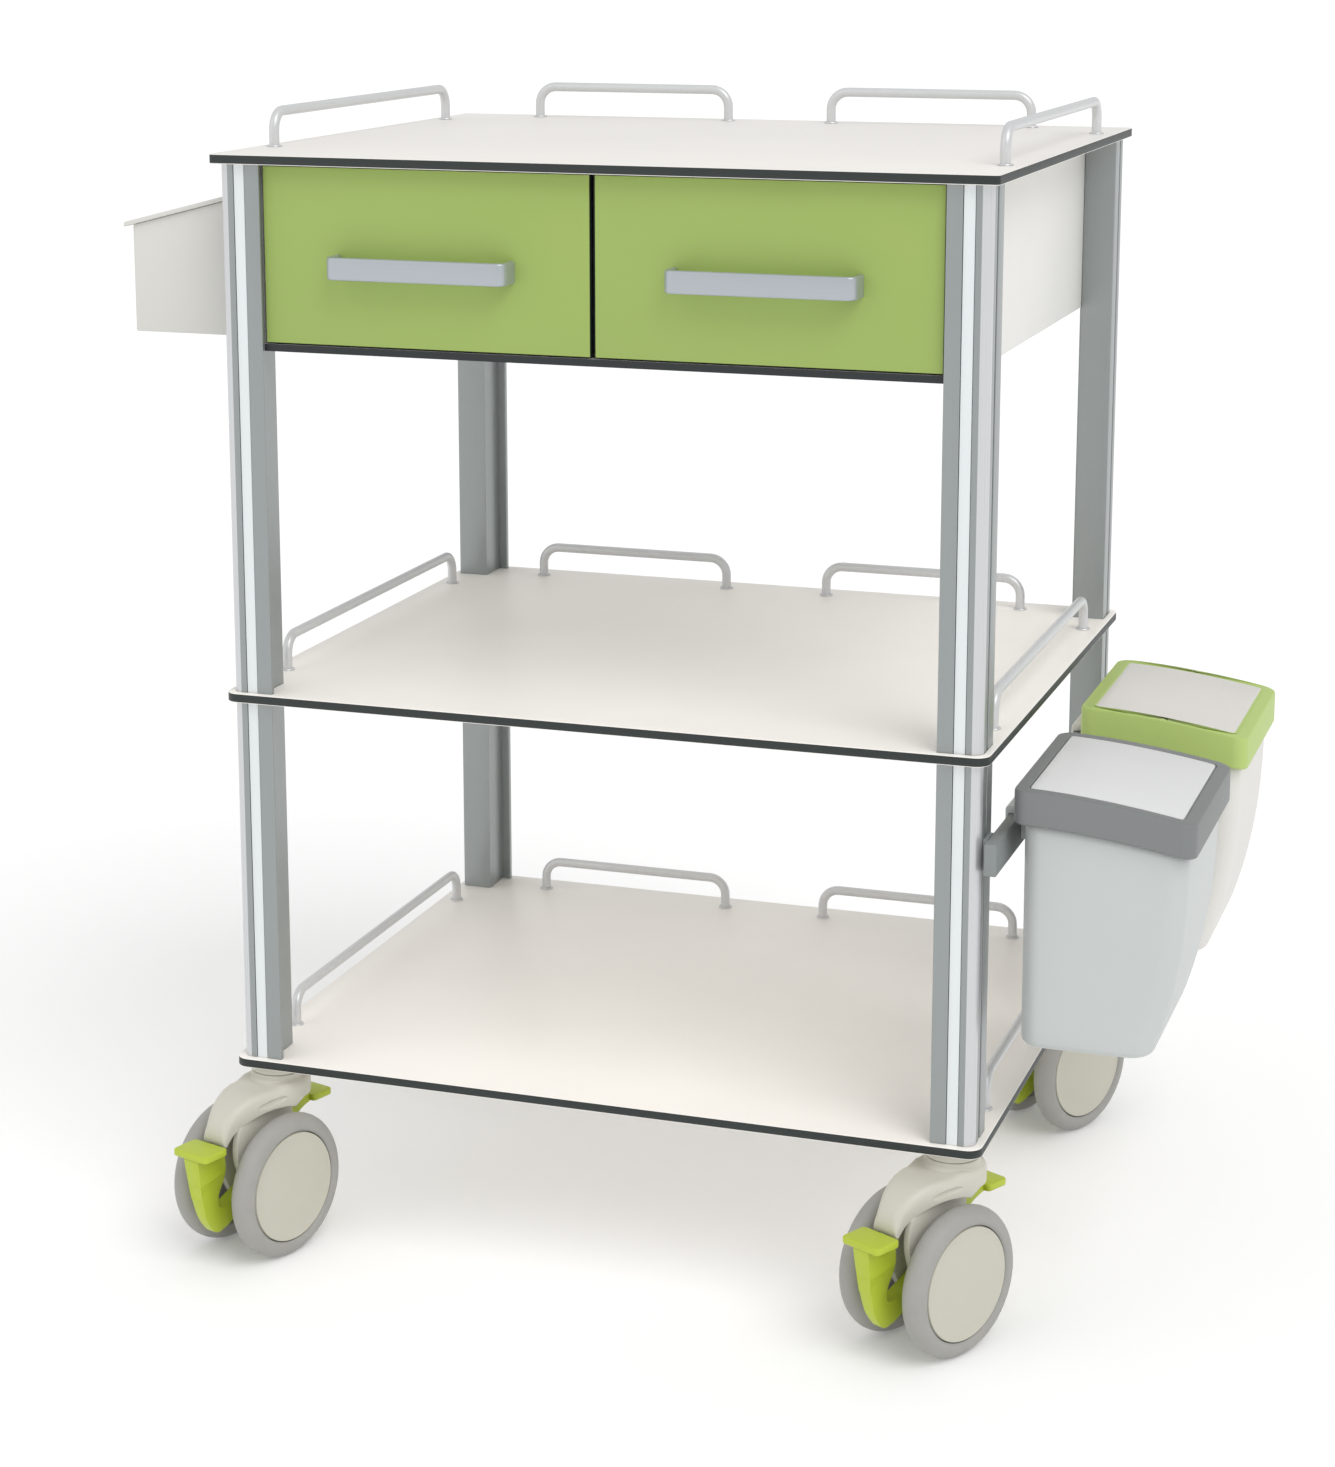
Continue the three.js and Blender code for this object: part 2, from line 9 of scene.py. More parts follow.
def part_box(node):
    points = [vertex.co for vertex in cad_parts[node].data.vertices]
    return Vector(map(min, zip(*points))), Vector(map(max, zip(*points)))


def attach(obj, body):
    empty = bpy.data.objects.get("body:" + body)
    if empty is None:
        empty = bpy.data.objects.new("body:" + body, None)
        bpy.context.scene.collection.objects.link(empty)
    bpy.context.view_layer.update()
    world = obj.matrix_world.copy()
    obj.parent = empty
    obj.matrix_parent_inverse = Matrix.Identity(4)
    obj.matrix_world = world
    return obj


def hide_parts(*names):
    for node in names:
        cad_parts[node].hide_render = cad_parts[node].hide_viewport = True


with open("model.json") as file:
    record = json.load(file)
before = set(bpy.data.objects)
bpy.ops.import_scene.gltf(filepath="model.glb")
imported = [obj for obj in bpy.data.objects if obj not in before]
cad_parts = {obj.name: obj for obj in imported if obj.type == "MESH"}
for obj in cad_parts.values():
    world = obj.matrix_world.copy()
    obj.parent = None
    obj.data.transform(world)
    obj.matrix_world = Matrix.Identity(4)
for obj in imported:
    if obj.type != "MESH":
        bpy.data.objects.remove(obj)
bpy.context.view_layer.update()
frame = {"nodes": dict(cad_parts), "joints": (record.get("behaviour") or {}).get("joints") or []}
joints = {joint["name"]: joint for joint in frame["joints"]}
sides = {"left": -1, "right": 1}
corners = {
    "front_left": (-1, -1),
    "front_right": (1, -1),
    "rear_left": (-1, 1),
    "rear_right": (1, 1),
}


# Shader maths
class Wire:  # an output socket that can be used in sums
    def __init__(self, look, socket):
        self.look = look
        self.socket = socket

    def math(self, operation, first, second):
        return self.look.node("ShaderNodeMath", {"operation": operation}, {0: first, 1: second})

    def __add__(self, other):
        return self.math("ADD", self, other)

    def __sub__(self, other):
        return self.math("SUBTRACT", self, other)

    def __rsub__(self, other):
        return self.math("SUBTRACT", other, self)

    def __mul__(self, other):
        return self.math("MULTIPLY", self, other)

    def __lt__(self, other):
        return self.math("LESS_THAN", self, other)

    __radd__ = __add__
    __rmul__ = __mul__


class Look:  # a material and the nodes that feed its shader
    def __init__(self, name, **sockets):
        self.material = bpy.data.materials.new(name)
        self.material.use_nodes = True
        self.tree = self.material.node_tree
        self.shader = self.tree.nodes["Principled BSDF"]
        self.place = self.node("ShaderNodeTexCoord", {}, {}, "Object")
        self.feed(**sockets)

    def plug(self, socket, value):
        if isinstance(value, Wire):
            self.tree.links.new(value.socket, socket)
        else:
            socket.default_value = value

    def node(self, kind, settings, sockets, output=0):
        made = self.tree.nodes.new(kind)
        for name, value in settings.items():
            setattr(made, name, value)
        for name, value in sockets.items():
            self.plug(made.inputs[name], value)
        return Wire(self, made.outputs[output])

    def feed(self, **sockets):
        for name, value in sockets.items():
            self.plug(self.shader.inputs[name.replace("_", " ")], value)

    def noise(self, scale, detail=2, stretch=(1, 1, 1)):
        place = self.node("ShaderNodeMapping", {}, {"Vector": self.place, "Scale": stretch})
        return self.node("ShaderNodeTexNoise", {}, {"Vector": place, "Scale": scale, "Detail": detail})

    def mix(self, factor, first, second):
        return self.node("ShaderNodeMix", {"data_type": "RGBA"}, {0: factor, 6: first, 7: second}, 2)

    def steep(self):  # 1 on upright faces, 0 on level ones
        normal = self.node("ShaderNodeNewGeometry", {}, {}, "Normal")
        up = self.node("ShaderNodeSeparateXYZ", {}, {"Vector": normal}, "Z")
        return up * up < 0.5

    def bump(self, height, depth):
        raised = self.node("ShaderNodeBump", {}, {"Height": height, "Strength": 1.0, "Distance": depth})
        self.feed(Normal=raised)


def tone(code, lighter=1.0):  # hex colour as linear light
    levels = [int(code[i : i + 2], 16) / 255 for i in (0, 2, 4)]
    linear = [((v + 0.055) / 1.055) ** 2.4 if v > 0.04045 else v / 12.92 for v in levels]
    return [min(v * lighter, 1.0) for v in linear] + [1.0]


# Finishes
def moulded(name, code, roughness=0.45, grain=0.00003):  # plastics and laminates
    look = Look(name)
    broad = look.noise(9, 3)
    fine = look.noise(1400, 2)
    look.feed(
        Base_Color=look.mix(broad * 0.7 + fine * 0.3, tone(code, 0.955), tone(code, 1.045)),
        Roughness=fine * 0.12 + broad * 0.06 + (roughness - 0.09),
    )
    look.bump(fine, grain)
    return look.material


def powderCoated(name, code, roughness=0.5):  # faint orange peel
    look = Look(name)
    peel = look.noise(520, 1)
    broad = look.noise(6, 2)
    look.feed(
        Base_Color=look.mix(broad, tone(code, 0.965), tone(code, 1.035)),
        Roughness=peel * 0.1 + (roughness - 0.05),
    )
    look.bump(peel, 0.00005)
    return look.material


def drawnMetal(name, code, stretch, roughness=0.34, metallic=0.8):  # draw lines along one axis
    look = Look(name, Metallic=metallic)
    lines = look.noise(1500, 2, stretch)
    broad = look.noise(25, 2, stretch)
    look.feed(
        Base_Color=look.mix(lines * 0.5 + broad * 0.5, tone(code, 0.9), tone(code, 1.08)),
        Roughness=lines * 0.14 + (roughness - 0.07),
    )
    look.bump(lines, 0.00002)
    return look.material


def compactCore(name, code):  # pressed black core, in fine level layers
    look = Look(name)
    layers = look.noise(900, 2, (0.05, 0.05, 3))
    look.feed(
        Base_Color=look.mix(layers, tone(code, 0.8), tone(code, 1.25)),
        Roughness=layers * 0.15 + 0.42,
    )
    look.bump(layers, 0.00003)
    return look.material


def compactSheet(name, skinCode, coreCode):  # white faces with a black edge
    look = Look(name)
    edge = look.steep()
    fine = look.noise(1400, 2)
    skin = look.mix(fine, tone(skinCode, 0.97), tone(skinCode, 1.03))
    core = look.mix(fine, tone(coreCode, 0.85), tone(coreCode, 1.2))
    look.feed(Base_Color=look.mix(edge, skin, core), Roughness=fine * 0.12 + 0.4)
    look.bump(fine, 0.00003)
    return look.material


def tyreRubber(name, code):
    look = Look(name)
    dust = look.noise(60, 4)
    fine = look.noise(900, 2)
    look.feed(
        Base_Color=look.mix(dust * 0.8 + fine * 0.2, tone(code, 0.9), tone(code, 1.08)),
        Roughness=fine * 0.16 + dust * 0.08 + 0.46,
    )
    look.bump(fine, 0.00006)
    return look.material


print("finishes")
laminateWhite = moulded("laminate white", "eeebe6", 0.42)
shelfWhite = moulded("shelf laminate white", "faf6f0", 0.42)
coreBlack = compactCore("compact core", "232b2a")
baseSheet = compactSheet("housing base sheet", "d9d8d4", "1d2324")
postAluminium = drawnMetal("post aluminium", "9a9f9f", (1, 1, 0.004), 0.36, 0.6)
# lighter, glossier copy of the post aluminium for the rounded outer corners: a painted highlight for the
# light reflected off the rounded edge
postEdgeHighlight = drawnMetal("post rounded edge painted highlight", "cfd0d2", (1, 1, 0.004), 0.3, 0.5)
stripWhite = moulded("cover strip white", "dfe4e5", 0.35)
railSilver = drawnMetal("rail silver", "d3d4d5", (0.2, 0.2, 0.2), 0.36, 0.35)
panelWhite = moulded("panel white", "e6e5e1", 0.45)
frontGreen = moulded("front green", "9ab15c", 0.5)
trayGrey = powderCoated("tray grey", "d4d5d3")
slideZinc = drawnMetal("slide zinc", "a8acae", (1, 0.004, 1), 0.35, 0.9)
handleSatin = drawnMetal("handle satin", "b3b9be", (0.01, 1, 1), 0.36, 0.55)
boxGrey = powderCoated("side box grey", "d5d4cf")
barGrey = powderCoated("bin bar grey", "868b8b")
rimGrey = moulded("rim grey", "7c7f7f", 0.5, 0.00005)
rimGreen = moulded("rim green", "b3c973", 0.5, 0.00005)
bucketGrey = moulded("bucket grey", "c2c7c6", 0.42)
bucketWarm = moulded("bucket warm white", "dcdad5", 0.42)
lidGrey = moulded("lid grey", "dfe0e0", 0.45)
lidWarm = moulded("lid warm", "dcd9d4", 0.45)
casterCream = moulded("caster cream", "c9c7bb", 0.4)
hubCream = moulded("hub cream", "c2c0b2", 0.38)
hollowGrey = moulded("wheel inner grey", "6d6c68", 0.6)
tyreGrey = tyreRubber("tyre grey", "a09f9b")
pedalLime = moulded("pedal lime", "b3c436", 0.42)
pinSteel = drawnMetal("pin steel", "c6c8ca", (1, 1, 0.05), 0.28, 0.95)


# Modelling helpers
def startBox(low, high):
    bm = bmesh.new()
    bmesh.ops.create_cube(bm, size=1)
    bmesh.ops.scale(bm, vec=Vector(high) - Vector(low), verts=bm.verts)
    bmesh.ops.translate(bm, vec=(Vector(low) + Vector(high)) / 2, verts=bm.verts)
    return bm


def bevel(bm, edges, width, segments=2):
    bmesh.ops.bevel(
        bm,
        geom=list(edges),
        offset=width,
        affect="EDGES",
        segments=segments,
        profile=0.5,
        material=-1,
        clamp_overlap=True,
    )


def edgesAlong(bm, axis):
    def along(edge):
        return abs((edge.verts[0].co - edge.verts[1].co).normalized()[axis]) > 0.999

    return [edge for edge in bm.edges if along(edge)]


def foldEdges(bm, degrees=30):
    return [
        edge
        for edge in bm.edges
        if len(edge.link_faces) == 2 and edge.calc_face_angle(0) > math.radians(degrees)
    ]


def newVerts(made):
    return [item for item in made["geom"] if isinstance(item, bmesh.types.BMVert)]


def outlineFace(bm, points, segments=5):  # points are x, y and the corner's radius
    verts = [bm.verts.new((x, y, 0)) for x, y, _ in points]
    bm.faces.new(verts)
    for radius in sorted({r for _, _, r in points if r > 0}):
        chosen = [vert for vert, point in zip(verts, points) if point[2] == radius]
        bmesh.ops.bevel(
            bm,
            geom=chosen,
            offset=radius,
            affect="VERTICES",
            segments=segments,
            profile=0.5,
            material=-1,
        )
    return list(bm.faces)


def extrudeOutline(points, low, high, plane=Matrix(), edge=0, segments=5):
    bm = bmesh.new()
    faces = outlineFace(bm, points, segments)
    bmesh.ops.translate(bm, vec=(0, 0, low), verts=bm.verts)
    made = bmesh.ops.extrude_face_region(bm, geom=faces)
    bmesh.ops.translate(bm, vec=(0, 0, high - low), verts=newVerts(made))
    bmesh.ops.recalc_face_normals(bm, faces=bm.faces)
    if edge:
        rims = [item for item in foldEdges(bm, 60) if abs(item.verts[0].co.z - item.verts[1].co.z) < 1e-6]
        bevel(bm, rims, edge)
    bmesh.ops.transform(bm, matrix=plane, verts=bm.verts)
    bmesh.ops.recalc_face_normals(bm, faces=bm.faces)
    return bm


sideOn = Matrix(((0, 0, 1, 0), (1, 0, 0, 0), (0, 1, 0, 0), (0, 0, 0, 1)))  # drawn in Y and Z
frontOn = Matrix(((1, 0, 0, 0), (0, 0, 1, 0), (0, 1, 0, 0), (0, 0, 0, 1)))  # drawn in X and Z


def ringOf(bm, centre, across, up, size, radius, segments=6, cuts=0, lowRadius=0):  # a loop of edges
    across, up = Vector(across) * size[0] / 2, Vector(up) * size[1] / 2
    centre = Vector(centre)
    places = (centre - across - up, centre + across - up, centre + across + up, centre - across + up)
    verts = [bm.verts.new(place) for place in places]
    before = set(bm.edges)
    bm.faces.new(verts)
    for corners, rounding in ((verts[:2], lowRadius or radius), (verts[2:], radius)):
        bmesh.ops.bevel(
            bm,
            geom=corners,
            offset=min(rounding, size[0] * 0.49, size[1] * 0.49),
            affect="VERTICES",
            segments=segments,
            profile=0.5,
            material=-1,
        )
    edges = [edge for edge in bm.edges if edge not in before]
    bmesh.ops.delete(bm, geom=list(edges[0].link_faces), context="FACES_ONLY")
    if cuts:
        along = across.normalized()
        level = [e for e in edges if abs((e.verts[0].co - e.verts[1].co).normalized().dot(along)) > 0.999]
        bmesh.ops.subdivide_edges(bm, edges=level, cuts=cuts)
        edges = [edge for edge in bm.edges if edge not in before]
    return edges


def skinLoops(bm, loops, capped=True, closed=False):
    pairs = list(zip(loops, loops[1:])) + ([(loops[-1], loops[0])] if closed else [])
    for first, second in pairs:
        bmesh.ops.bridge_loops(bm, edges=first + second)
    if capped:
        for loop in (loops[0], loops[-1]):
            bmesh.ops.contextual_create(bm, geom=loop)
    bmesh.ops.recalc_face_normals(bm, faces=bm.faces)
    return bm


def turned(profile, segments=48):  # spins points (radius, height) about Z
    bm = bmesh.new()
    verts = [bm.verts.new((radius, 0, height)) for radius, height in profile]
    edges = [bm.edges.new(pair) for pair in zip(verts, verts[1:])]
    bmesh.ops.spin(
        bm,
        geom=verts + edges,
        cent=(0, 0, 0),
        axis=(0, 0, 1),
        angle=math.tau,
        steps=segments,
        use_merge=True,
    )
    bmesh.ops.remove_doubles(bm, verts=bm.verts, dist=1e-6)
    bmesh.ops.dissolve_degenerate(bm, dist=1e-7, edges=bm.edges)
    bmesh.ops.recalc_face_normals(bm, faces=bm.faces)
    return bm


def moved(bm, matrix):
    bmesh.ops.transform(bm, matrix=matrix, verts=bm.verts)
    if matrix.determinant() < 0:
        bmesh.ops.recalc_face_normals(bm, faces=bm.faces)
    return bm


def hollow(bm, wall, floor):  # sinks the top inside its walls, down to the floor's height
    top = [face for face in bm.faces if face.normal.z > 0.9]
    bmesh.ops.inset_region(bm, faces=top, thickness=wall, use_even_offset=True)
    made = bmesh.ops.extrude_face_region(bm, geom=top)
    bmesh.ops.delete(bm, geom=top, context="FACES_ONLY")
    for vert in newVerts(made):
        vert.co.z = floor
    bmesh.ops.recalc_face_normals(bm, faces=bm.faces)


def makePiece(name, bm, looks, body, stands=(), sharp=35):
    mesh = bpy.data.meshes.new(name)
    bm.normal_update()
    bm.to_mesh(mesh)
    bm.free()
    for look in looks if isinstance(looks, (list, tuple)) else [looks]:
        mesh.materials.append(look)
    mesh.polygons.foreach_set("use_smooth", [True] * len(mesh.polygons))
    mesh.set_sharp_from_angle(angle=math.radians(sharp))
    piece = bpy.data.objects.new(name, mesh)
    bpy.context.scene.collection.objects.link(piece)
    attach(piece, body)
    if stands:
        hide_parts(*stands)
    return piece


def cutBy(piece, bm):  # takes the shape of bm out of the piece
    mesh = bpy.data.meshes.new("cutter")
    bm.to_mesh(mesh)
    bm.free()
    cutter = bpy.data.objects.new("cutter", mesh)
    bpy.context.scene.collection.objects.link(cutter)
    modifier = piece.modifiers.new("cut", "BOOLEAN")
    modifier.object = cutter
    modifier.operation = "DIFFERENCE"
    modifier.solver = "EXACT"
    shown = piece.evaluated_get(bpy.context.evaluated_depsgraph_get())
    result = bpy.data.meshes.new_from_object(shown)
    piece.modifiers.clear()
    old = piece.data
    piece.data = result
    bpy.data.meshes.remove(old)
    bpy.data.objects.remove(cutter)
    result.name = piece.name


# Posts, with the white cover strip in each one's slot
post = {
    "flange": 0.036,
    "flangeThick": 0.005,
    "body": 0.028,
    "deep": 0.04,
    "corner": 0.008,
    "arris": 0.0006,
    "slot": (0.013, 0.023, 0.0026),
    "groove": (0.017, 0.022, 0.002),
    "stripPlay": 0.0004,
    "stripSunk": 0.0005,
    "stripCorner": 0.0005,
}


def postPoints(sideX, sideY, faceX, faceY, growth=0.0):
    slotNear, slotFar, slotDeep = post["slot"]
    grooveNear, grooveFar, grooveDeep = post["groove"]
    soft = post["arris"]
    points = [
        (-growth, -growth, post["corner"] + growth),
        (slotNear, 0, soft),
        (slotNear, slotDeep, 0),
        (slotFar, slotDeep, 0),
        (slotFar, 0, soft),
        (post["flange"] + growth, -growth, soft),
        (post["flange"] + growth, post["flangeThick"] + growth, soft),
        (post["body"] + growth, post["flangeThick"] + growth, 0),
        (post["body"] + growth, post["deep"] + growth, soft),
        (-growth, post["deep"] + growth, soft),
        (0, grooveFar, soft),
        (grooveDeep, grooveFar, 0),
        (grooveDeep, grooveNear, 0),
        (0, grooveNear, soft),
    ]
    if growth:
        points = [(u, v, r) for u, v, r in points if u < 0 or v < 0 or u > slotFar]
    return [(faceX - sideX * u, faceY - sideY * v, radius) for u, v, radius in points]


def postFaces(corner):
    sideX, sideY = corners[corner]
    low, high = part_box(f"post_{corner}")
    return sideX, sideY, (high if sideX > 0 else low).x, (high if sideY > 0 else low).y


def addPosts():
    for corner in corners:
        sideX, sideY, faceX, faceY = postFaces(corner)
        low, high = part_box(f"post_{corner}")
        bm = extrudeOutline(postPoints(sideX, sideY, faceX, faceY), low.z, high.z)
        for face in bm.faces:
            u = sideX * (faceX - face.calc_center_median().x)
            v = sideY * (faceY - face.calc_center_median().y)
            # faces on the rounded outer corner take the lighter aluminium copy, a painted highlight
            rounded = max(u, v) < post["corner"] and abs(face.normal.z) < 0.5
            face.material_index = 1 if rounded else 0
        looks = [postAluminium, postEdgeHighlight]
        makePiece(f"corner_post_{corner}", bm, looks, "root", [f"post_{corner}"])
        near, far, deep = post["slot"]
        play, sunk = post["stripPlay"], post["stripSunk"]
        places = [
            (near + play, sunk, post["stripCorner"]),
            (far - play, sunk, post["stripCorner"]),
            (far - play, deep - play, 0),
            (near + play, deep - play, 0),
        ]
        strip = [(faceX - sideX * u, faceY - sideY * v, radius) for u, v, radius in places]
        bm = extrudeOutline(strip, low.z, high.z, segments=2)
        makePiece(f"cover_strip_{corner}", bm, stripWhite, "root")


# Boards: white laminate skins on a black core
board = {
    "corner": {"bottom_shelf": 0.012, "middle_shelf": 0.012, "top_board": 0.004},
    "edge": 0.0006,
    "skin": 0.0009,
    "postPlay": 0.0004,
    "cutPast": 0.002,
}


def addBoards():
    for node, corner in board["corner"].items():
        low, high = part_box(node)
        bm = startBox(low, high)
        bevel(bm, edgesAlong(bm, 2), corner, 8)
        bevel(bm, foldEdges(bm, 60), board["edge"], 2)
        for face in bm.faces:
            height = face.calc_center_median().z
            core = low.z + board["skin"] < height < high.z - board["skin"]
            face.material_index = 1 if core else 0
        white = laminateWhite if node == "top_board" else shelfWhite
        piece = makePiece(f"{node}_sheet", bm, [white, coreBlack], "root", [node])
        if node == "middle_shelf":
            for corner in corners:
                points = postPoints(*postFaces(corner), growth=board["postPlay"])
                cutBy(piece, extrudeOutline(points, low.z - board["cutPast"], high.z + board["cutPast"]))


# Gallery rails
rail = {
    "radius": 0.0043,
    "bend": 0.016,
    "sides": 20,
    "steps": 8,
    "foot": 0.0065,
    "footHigh": 0.0009,
}


def turnRing(bm, ring, centre):  # a quarter turn of the rod
    made = bmesh.ops.spin(
        bm,
        geom=ring,
        cent=centre,
        axis=(0, 1, 0),
        angle=math.pi / 2,
        steps=rail["steps"],
        use_duplicate=False,
    )
    kinds = (bmesh.types.BMVert, bmesh.types.BMEdge)
    return [item for item in made["geom_last"] if isinstance(item, kinds)]


def pushRing(bm, ring, move):  # a straight length of the rod
    edges = [item for item in ring if isinstance(item, bmesh.types.BMEdge)]
    made = bmesh.ops.extrude_edge_only(bm, edges=edges)
    verts = newVerts(made)
    bmesh.ops.translate(bm, vec=move, verts=verts)
    chosen = set(verts)
    ends = [edge for edge in bm.edges if edge.verts[0] in chosen and edge.verts[1] in chosen]
    return verts + ends


def railForm(long, high, radius):
    bm = bmesh.new()
    bend = rail["bend"]
    bmesh.ops.create_circle(bm, cap_ends=True, radius=radius, segments=rail["sides"])
    ring = list(bm.verts) + list(bm.edges)
    ring = pushRing(bm, ring, (0, 0, high - bend))
    ring = turnRing(bm, ring, (bend, 0, high - bend))
    ring = pushRing(bm, ring, (long - 2 * bend, 0, 0))
    ring = turnRing(bm, ring, (long - bend, 0, high - bend))
    ring = pushRing(bm, ring, (0, 0, bend - high))
    bmesh.ops.contextual_create(bm, geom=[item for item in ring if isinstance(item, bmesh.types.BMEdge)])
    for foot in (0, long):  # thin collar where the rod enters the board
        made = bmesh.ops.create_cone(
            bm,
            cap_ends=True,
            segments=24,
            radius1=rail["foot"],
            radius2=rail["foot"] * 0.92,
            depth=rail["footHigh"],
        )
        bmesh.ops.translate(bm, vec=(foot, 0, rail["footHigh"] / 2), verts=made["verts"])
    bmesh.ops.recalc_face_normals(bm, faces=bm.faces)
    return bm


def addRails():
    for level in ("bottom", "middle", "top"):
        for place in ("back_left", "back_right", "side_left", "side_right"):
            node = f"{level}_rail_{place}"
            low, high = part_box(node)
            size = high - low
            lengthwise = 0 if size.x > size.y else 1
            rod = min(size.x, size.y)
            bm = railForm(max(size.x, size.y) - rod, size.z - rail["radius"], rail["radius"])
            if lengthwise:
                moved(bm, Matrix.Rotation(math.pi / 2, 4, "Z"))
            start = Vector((low.x + rod / 2, low.y + rod / 2, low.z))
            moved(bm, Matrix.Translation(start))
            makePiece(f"gallery_{node}", bm, railSilver, "root", [node], 50)


# Drawer housing
housing = {"edge": 0.0006}


def addHousing():
    for node in ("side_panel_left", "side_panel_right", "housing_back"):
        bm = startBox(*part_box(node))
        bevel(bm, foldEdges(bm), housing["edge"], 2)
        makePiece(f"{node}_sheet", bm, panelWhite, "root", [node])
    for node, look in (("housing_base", baseSheet), ("drawer_divider", coreBlack)):
        for slot in frame["nodes"][node].material_slots:
            slot.link = "OBJECT"
            slot.material = look


# Drawers
drawer = {
    "arris": 0.0005,
    "wall": 0.002,
    "slideHigh": 0.035,
    "slideThick": 0.004,
    "slideUp": 0.03,
    "slideBack": 0.02,
    "slideRoom": 0.0127,
    "slidePlay": 0.0003,
    "rearPlay": 0.003,
}
handle = {"thick": 0.005, "corner": 0.009, "edge": 0.0019}


def addFront(side, body):
    low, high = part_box(f"drawer_front_{side}")
    bm = startBox(low, high)
    bevel(bm, foldEdges(bm), drawer["arris"], 2)
    for face in bm.faces:
        face.material_index = 0 if abs(face.normal.y) > 0.3 else 1
    node = f"drawer_front_{side}"
    makePiece(f"{node}_sheet", bm, [frontGreen, coreBlack], body, [node])


def addTray(side, body):
    node = f"drawer_tray_{side}"
    low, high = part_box(node)
    bm = startBox(low, high)
    bevel(bm, edgesAlong(bm, 2), 0.003, 3)
    hollow(bm, drawer["wall"], low.z + drawer["wall"])
    bevel(bm, foldEdges(bm, 60), drawer["arris"], 2)
    makePiece(f"{node}_shell", bm, trayGrey, body, [node])
    return low, high


def addSlides(side, body, trayLow, trayHigh):
    backLow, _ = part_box("housing_back")
    thick, up, tall = drawer["slideThick"], drawer["slideUp"], drawer["slideHigh"]
    play = drawer["slidePlay"]
    for place, faceX, outward in (("a", trayLow.x, -1), ("b", trayHigh.x, 1)):
        for kind, near, rides, back in (
            ("moving", play, body, trayHigh.y),
            ("fixed", drawer["slideRoom"] - thick - 2 * play, "root", backLow.y - drawer["rearPlay"]),
        ):
            xs = sorted((faceX + outward * near, faceX + outward * (near + thick)))
            low = Vector((xs[0], trayLow.y + drawer["slideBack"], trayLow.z + up))
            high = Vector((xs[1], back, trayLow.z + up + tall))
            bm = startBox(low, high)
            bevel(bm, edgesAlong(bm, 1), 0.0012, 2)
            makePiece(f"slide_{kind}_{side}_{place}", bm, slideZinc, rides)


def addHandle(side, body):
    node = f"drawer_handle_{side}"
    low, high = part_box(node)
    thick, corner = handle["thick"], handle["corner"]
    points = [
        (low.x, high.y, 0),
        (low.x, low.y, corner),
        (high.x, low.y, corner),
        (high.x, high.y, 0),
        (high.x - thick, high.y, 0),
        (high.x - thick, low.y + thick, corner - thick),
        (low.x + thick, low.y + thick, corner - thick),
        (low.x + thick, high.y, 0),
    ]
    bm = extrudeOutline(points, low.z, high.z, segments=8)
    level = [e for e in foldEdges(bm, 60) if abs(e.verts[0].co.z - e.verts[1].co.z) < 1e-6]
    bevel(bm, [e for e in level if min(v.co.y for v in e.verts) < high.y - 0.001], handle["edge"], 4)
    makePiece(f"{node}_bow", bm, handleSatin, body, [node], 40)


def addDrawers():
    for side in sides:
        body = f"drawer_{side}"
        addFront(side, body)
        addSlides(side, body, *addTray(side, body))
        addHandle(side, body)


# Side box with its sloping lid
sideBox = {
    "wall": 0.0025,
    "corner": 0.0042,
    "arris": 0.0006,
    "drop": 0.028,
    "lidThick": 0.004,
    "lidEdge": 0.0007,
    "spacer": 0.024,
    "spacerUp": 0.059,
    "spacerPlaces": (0.2, 0.8),
}


def addSideBox():
    low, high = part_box("side_box")
    lidLow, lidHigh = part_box("side_box_lid")
    back = lidHigh.x
    box = startBox(low, (back, high.y, high.z))
    bevel(box, edgesAlong(box, 2), sideBox["corner"], 4)
    hollow(box, sideBox["wall"], low.z + sideBox["wall"])
    slope = sideBox["drop"] / (back - low.x)
    for vert in box.verts:  # the upper edges slope down away from the cart
        if vert.co.z > high.z - 0.001:
            vert.co.z -= slope * (back - vert.co.x)
    bmesh.ops.recalc_face_normals(box, faces=box.faces)
    bevel(box, foldEdges(box, 60), sideBox["arris"], 2)
    makePiece("side_box_shell", box, boxGrey, "root", ["side_box"])
    long = high.y - low.y
    for index, share in enumerate(sideBox["spacerPlaces"]):  # spacers to the side panel
        middle = Vector(((back + high.x) / 2, low.y + long * share, low.z + sideBox["spacerUp"]))
        half = Vector((high.x - back, sideBox["spacer"], sideBox["spacer"])) / 2
        bm = startBox(middle - half, middle + half)
        bevel(bm, edgesAlong(bm, 0), 0.004, 3)
        makePiece(f"side_box_spacer_{index}", bm, boxGrey, "root")
    thick = sideBox["lidThick"]
    fall = slope * (back - lidLow.x)
    outline = [
        (back, lidHigh.z - thick, 0),
        (back, lidHigh.z, 0.0012),
        (lidLow.x, lidHigh.z - fall, 0.0012),
        (lidLow.x, lidHigh.z - fall - thick, 0),
    ]
    bm = extrudeOutline(outline, lidLow.y, lidHigh.y, frontOn, sideBox["lidEdge"], 3)
    makePiece("side_box_lid_sheet", bm, boxGrey, "side_box_lid", ["side_box_lid"])


# Bins
bins = {
    "rimHigh": 0.028,
    "rimWall": 0.015,
    "lap": 0.004,
    "drop": 0.017,
    "arch": 1.7,
    "bucketInset": 0.007,
    "bucketCorner": 0.016,
    "belly": 0.026,
    "bellyPower": 2.7,
    "taper": 0.004,
    "wall": 0.0025,
    "lidThick": 0.004,
    "lidPlay": 0.0006,
    "lidCorner": 0.0035,
    "lidEdge": 0.0008,
    "foot": 0.007,
    "slices": 14,
    "courses": 22,
}
hook = {"half": 0.03, "plate": 0.0024, "below": 0.02, "play": 0.0004}
bar = {"thick": 0.01, "edge": 0.001, "pad": 0.022, "padPlay": 0.0003}


